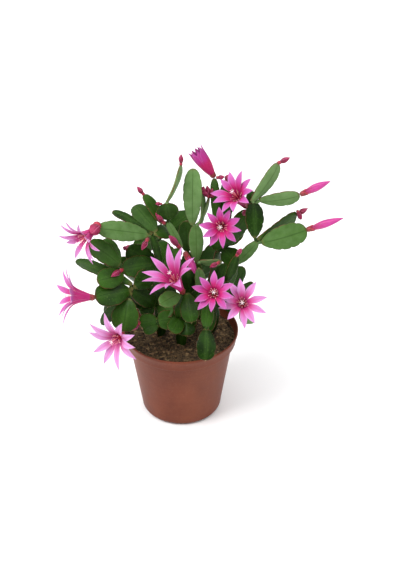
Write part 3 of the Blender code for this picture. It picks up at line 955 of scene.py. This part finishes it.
def add_furled(bm, place, length, width, tone, chance, tepals=5):
    """A furled bud: tepals wound round one another, fullest past the middle and drawn to a point."""
    start = chance.uniform(0, math.tau)
    twist = chance.uniform(0.5, 0.9)

    def fullness(along):
        rise = 0.46 + 0.54 * math.sin(min(1, along / 0.46) * math.pi / 2) ** 1.2
        return rise * max(0.0, 1 - max(0, (along - 0.36) / 0.64) ** 2.1) + 0.03

    for count in range(tepals):
        begin = start + math.tau * count / tepals
        ends = chance.uniform(0.92, 1.0)

        def surface(across, along, side, begin=begin, ends=ends):
            angle = begin + across * 0.92 + twist * along
            overlap = 0.42 * MM * across * math.sin(math.pi * min(1, along + 0.1))
            away = width / 2 * 0.90 * fullness(along) + overlap + side * 0.16 * MM
            return place @ Vector((away * math.cos(angle), away * math.sin(angle), length * along * ends))

        add_sheet(bm, surface, (6, 18), tone)

    def core(along, around):
        away = width / 2 * 0.84 * fullness(along)
        return place @ Vector((away * math.cos(around), away * math.sin(around), length * along * 0.97))

    add_round(bm, core, 12, 12, tone)


def build_long_buds(looks):
    """The long furled buds and the drooping blossom, each with its receptacle."""
    for index, (node, tone) in enumerate(LONG_BUDS.items()):
        place, length, width = read_round(node)
        chance = random.Random(700 + index)
        bm = new_bm()
        inset = place @ Matrix.Translation((0, 0, LONG_BUD_INSET))
        add_furled(bm, inset, length - LONG_BUD_INSET, 0.84 * width, tone, chance)
        make_piece(f"{node}_tepals", bm, (looks["bud"],), (node,))
        bm = new_bm()
        add_receptacle(bm, place, 6.5 * MM, 2.7 * MM)
        for count in range(4):
            add_scale(bm, place, math.tau * count / 4, 2.5 * MM, 3.0 * MM, 4.5 * MM, 1.5 * MM)
        make_piece(f"{node}_receptacle", bm, (looks["calyx"],))


def build_short_buds(tips, looks):
    """The small red buds on the segments' ends, each with its receptacle."""
    for index, (name, parent, length, width, heading, rise, shift, tone) in enumerate(SHORT_BUDS):
        direction = direction_of(heading, rise)
        length, width = length * MM, width * MM
        place = direction.to_track_quat("Z", "Y").to_matrix().to_4x4()
        place.translation = place_on_tip(tips, parent, direction, 1 * MM, shift) - direction * 0.8 * MM
        chance = random.Random(900 + index)
        bm = new_bm()
        inset = place @ Matrix.Translation((0, 0, 0.2 * length))
        add_furled(bm, inset, 0.8 * length, width, tone, chance, 4)
        make_piece(f"{name}_bud", bm, (looks["bud"],))
        bm = new_bm()
        add_receptacle(bm, place, 0.36 * length, 0.37 * width, 10)
        make_piece(f"{name}_bud_foot", bm, (looks["calyx"],))


# ---------------------------------------------------------------- pot and soil


def spun(profile, steps):
    """A closed body turned about the pot's axis from (radius, height) points."""
    bm = new_bm()
    points = [bm.verts.new((radius, 0, height)) for radius, height in profile]
    edges = [bm.edges.new(pair) for pair in zip(points, points[1:])]
    axis = {"cent": (0, 0, 0), "axis": (0, 0, 1), "angle": math.tau}
    bmesh.ops.spin(bm, geom=points + edges, steps=steps, use_merge=True, **axis)
    bmesh.ops.remove_doubles(bm, verts=bm.verts[:], dist=0.01 * MM)
    bmesh.ops.recalc_face_normals(bm, faces=bm.faces[:])
    return bm


def arc(centre, radius, start, turn, steps=4):
    """Points of an arc from a start direction through a turn, both in degrees."""
    angles = [math.radians(start + turn * step / steps) for step in range(steps + 1)]
    return [(centre[0] + radius * math.cos(angle), centre[1] + radius * math.sin(angle)) for angle in angles]


def pot_profile(rim, top):
    """The pot's wall as (radius, height) points, up the outside and down the inside."""
    lip = top - LIP_HEIGHT
    base = [(0, BASE_RISE), (12 * MM, BASE_RISE), (14 * MM, 0), (BASE_RADIUS, 0)]
    foot = arc((BASE_RADIUS, FOOT_ROUND), FOOT_ROUND, -72.8, 68.75)
    wall = [(42.9 * MM, 8 * MM), WALL_FOOT, (WALL_TOP, lip - 1.4 * MM)]
    step = [(54.6 * MM, lip - 0.3 * MM), (55.4 * MM, lip)]
    step += arc((56.9 * MM, lip + LIP_ROUND), LIP_ROUND, -90, 85)
    band = [(58.0 * MM, lip + 3.0 * MM), (rim - 0.55 * MM, top - 3.4 * MM), (rim - 0.15 * MM, top - 2.6 * MM)]
    band += arc((rim - LIP_ROUND, top - LIP_ROUND), LIP_ROUND, 0, 180, 8)
    inside = [(rim - 2.2 * MM, top - 3 * MM), (56.0 * MM, lip + 1.8 * MM), (53.0 * MM, lip + 0.4 * MM)]
    inside += [(41.2 * MM, 6 * MM), (BASE_RADIUS, FLOOR_TOP), (0, FLOOR_TOP)]
    return base + foot + wall + step + band + inside


def drill(pot):
    """Cuts the drain holes through the pot's base."""
    cutters = []
    for index in range(DRAIN_HOLES):
        around = math.tau * (index + 0.56) / DRAIN_HOLES
        spot = Vector((DRAIN_CIRCLE * math.cos(around), DRAIN_CIRCLE * math.sin(around), 0))
        size = {"radius1": DRAIN_RADIUS, "radius2": DRAIN_RADIUS, "depth": 12 * MM}
        hole = bmesh.new()
        bmesh.ops.create_cone(hole, cap_ends=True, segments=24, matrix=Matrix.Translation(spot), **size)
        mesh = bpy.data.meshes.new(f"drain_cutter_{index + 1}")
        hole.to_mesh(mesh)
        hole.free()
        cutter = bpy.data.objects.new(mesh.name, mesh)
        bpy.context.scene.collection.objects.link(cutter)
        cut = pot.modifiers.new(f"drain_hole_{index + 1}", "BOOLEAN")
        cut.operation = "DIFFERENCE"
        cut.solver = "EXACT"
        cut.object = cutter
        cutters.append(cutter)
    bpy.context.view_layer.update()
    shaped = bpy.data.meshes.new_from_object(pot.evaluated_get(bpy.context.evaluated_depsgraph_get()))
    pot.modifiers.clear()
    pot.data = shaped
    for cutter in cutters:
        bpy.data.objects.remove(cutter)


def build_pot(material):
    """The tapered pot with its lip band, its round foot and its drain holes."""
    _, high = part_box("pot")
    bm = spun(pot_profile(high.x, high.z), POT_TURN_STEPS)
    drill(make_piece("plastic_pot", bm, (material,), ("pot",)))


def ground(x, y):
    """How high the rough soil stands over its even crown."""
    spot = Vector((x, y, 0))
    lumps = noise.noise(spot * 90) * 1.6 + noise.noise(spot * 210) * 1.0 + noise.noise(spot * 520) * 0.55
    return lumps * MM


def soil_height(x, y):
    """The soil's rough top, which falls from its crown to its edge."""
    away = min(1, math.hypot(x, y) / SOIL_EDGE)
    return SOIL_LEVEL + SOIL_CROWN * (1 - away**2) + ground(x, y)


def build_soil(material):
    """The peat as one body turned about the pot's axis, with a lumpy top and crumbs on it."""
    level = SOIL_LEVEL + SOIL_CROWN
    plug = [(0, 2.4 * MM), (36 * MM, 2.4 * MM), (40.6 * MM, 6 * MM)]
    plug += [(52.4 * MM, 83 * MM), (SOIL_EDGE, 86 * MM)]
    top = [(SOIL_EDGE * (1 - ring / SOIL_RINGS), level) for ring in range(SOIL_RINGS + 1)]
    bm = spun(plug + top, SOIL_TURN_STEPS)
    for vert in bm.verts:
        mark(bm, vert, 0, 0, 0, 0)
        if vert.co.z > level - 1 * MM:
            vert.co.z = soil_height(vert.co.x, vert.co.y)
    chance = random.Random(31)
    for _ in range(CRUMBS):
        add_crumb(bm, chance)
    make_piece("peat_soil", bm, (material,), ("potting_soil",))


def add_crumb(bm, chance):
    """One rough crumb of peat, or a short fibre, lying on the soil."""
    away = SOIL_EDGE * 0.97 * math.sqrt(chance.random())
    around = chance.uniform(0, math.tau)
    x, y = away * math.cos(around), away * math.sin(around)
    size = chance.uniform(0.35, 1.0) ** 1.6 * 1.3 * MM
    fibre = chance.random() < 0.04
    stretch = (2.2, 0.45, 0.4) if fibre else (1, chance.uniform(0.7, 1.1), chance.uniform(0.6, 0.9))
    crumb = bmesh.ops.create_icosphere(bm, subdivisions=1, radius=size)["verts"]
    turn = Matrix.Rotation(chance.uniform(0, math.tau), 3, "Z")
    turn = turn @ Matrix.Rotation(chance.uniform(-0.5, 0.5), 3, "X")
    tone = chance.random() ** 1.6
    for vert in crumb:
        vert.co *= chance.uniform(0.82, 1.15)
        vert.co = turn @ Vector((vert.co.x * stretch[0], vert.co.y * stretch[1], vert.co.z * stretch[2]))
        vert.co += Vector((x, y, soil_height(x, y) + size * 0.22))
        mark(bm, vert, 0, 0, tone, 0)


# ---------------------------------------------------------------- studio


def add_light(name, place, size, power):
    """A round soft light turned towards the plant."""
    light = bpy.data.lights.new(name, "AREA")
    light.shape = "DISK"
    light.size = size
    light.energy = power
    obj = bpy.data.objects.new(name, light)
    bpy.context.scene.collection.objects.link(obj)
    obj.location = place
    obj.rotation_euler = (AIM - Vector(place)).to_track_quat("-Z", "Y").to_euler()


def build_floor(material):
    """The floor under the pot, which is not a part of the plant."""
    bm = bmesh.new()
    bmesh.ops.create_grid(bm, x_segments=1, y_segments=1, size=6)
    mesh = bpy.data.meshes.new("pale_floor")
    bm.to_mesh(mesh)
    bm.free()
    mesh.materials.append(material)
    floor = bpy.data.objects.new("pale_floor", mesh)
    bpy.context.scene.collection.objects.link(floor)


def build_room():
    """White surroundings that look full white but light the plant only a little."""
    scene = bpy.context.scene
    scene.view_settings.view_transform = "Standard"
    world = bpy.data.worlds.new("soft_room")
    world.use_nodes = True
    tree = world.node_tree
    room = tree.nodes["Background"].inputs
    room["Color"].default_value = (1, 1, 1, 1)
    seen = tree.nodes.new("ShaderNodeLightPath").outputs["Is Camera Ray"]
    strength = tree.nodes.new("ShaderNodeMapRange")
    strength.inputs["To Min"].default_value = ROOM_LIGHT
    strength.inputs["To Max"].default_value = 1.0
    tree.links.new(seen, strength.inputs["Value"])
    tree.links.new(strength.outputs["Result"], room["Strength"])
    scene.world = world


def build_lights():
    """A strong light high on the left, weaker ones right and behind, and a broad one straight above."""
    add_light("key_light", (-1.02, -0.52, 1.36), 1.0, 25)
    add_light("fill_light", (1.15, -0.8, 1.0), 1.3, 6)
    sky = bpy.data.lights.new("top_light", "SUN")
    sky.energy = 2.2
    sky.angle = math.radians(85)
    bpy.context.scene.collection.objects.link(bpy.data.objects.new("top_light", sky))
    add_light("back_light", (0.3, 1.5, 0.9), 1.0, 4)


def build_camera():
    """The front camera, which looks down on the plant."""
    camera = bpy.data.cameras.new("camera")
    camera.lens = CAMERA_LENS
    obj = bpy.data.objects.new("camera", camera)
    bpy.context.scene.collection.objects.link(obj)
    away = Vector((0, -math.cos(CAMERA_RISE), math.sin(CAMERA_RISE)))
    obj.location = CAMERA_AIM + CAMERA_DISTANCE * away
    obj.rotation_euler = (math.pi / 2 - CAMERA_RISE, 0, 0)
    bpy.context.scene.camera = obj


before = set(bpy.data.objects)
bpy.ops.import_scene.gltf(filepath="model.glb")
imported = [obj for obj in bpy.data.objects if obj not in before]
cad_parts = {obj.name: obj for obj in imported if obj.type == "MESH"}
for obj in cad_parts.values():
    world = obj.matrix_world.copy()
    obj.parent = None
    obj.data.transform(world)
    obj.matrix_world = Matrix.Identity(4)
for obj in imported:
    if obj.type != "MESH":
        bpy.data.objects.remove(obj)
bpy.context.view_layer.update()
leaf = leaf_material()
straw = bristle_material()
looks = {
    "petal": petal_material(),
    "bud": bud_material(),
    "calyx": calyx_material(),
    "stamen": stamen_material(),
}
build_camera()
build_floor(floor_material())
build_room()
build_lights()
build_pot(pot_material())
build_soil(soil_material())
segment_tips = build_segments(leaf, straw)
for number, blossom in enumerate(FLOWERS):
    build_blossom(blossom, looks, number)
build_inner_segments(segment_tips, leaf, straw)
build_long_buds(looks)
build_short_buds(segment_tips, looks)
